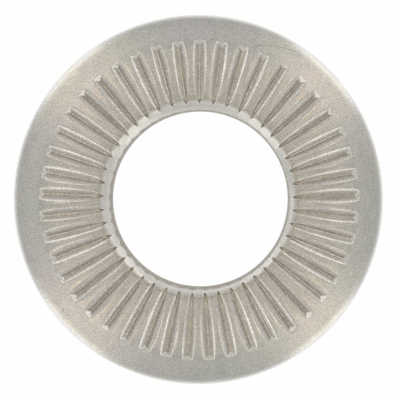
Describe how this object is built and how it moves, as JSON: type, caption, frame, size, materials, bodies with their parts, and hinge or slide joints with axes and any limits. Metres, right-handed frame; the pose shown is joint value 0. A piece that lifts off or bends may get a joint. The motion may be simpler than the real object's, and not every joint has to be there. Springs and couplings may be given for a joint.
{
  "type": "contact washer",
  "caption": "Dished spring washer of stainless sheet, with a ring of radial V serrations on its raised side that bite under a screw's head to lock it and make electrical contact.",
  "frame": {"origin": "centre of the hole, on the plane that the rim rests on", "axes": "+Z along the hole's axis towards the raised, serrated side; +Y along one groove"},
  "size_m": [0.022, 0.022, 0.0022],
  "materials": {
    "stainless_steel": "bare stainless steel, tumbled to a satin grain, with brighter rolled edges"
  },
  "bodies": {
    "root": {"contact_washer": "stainless_steel"}
  },
  "joints": []
}
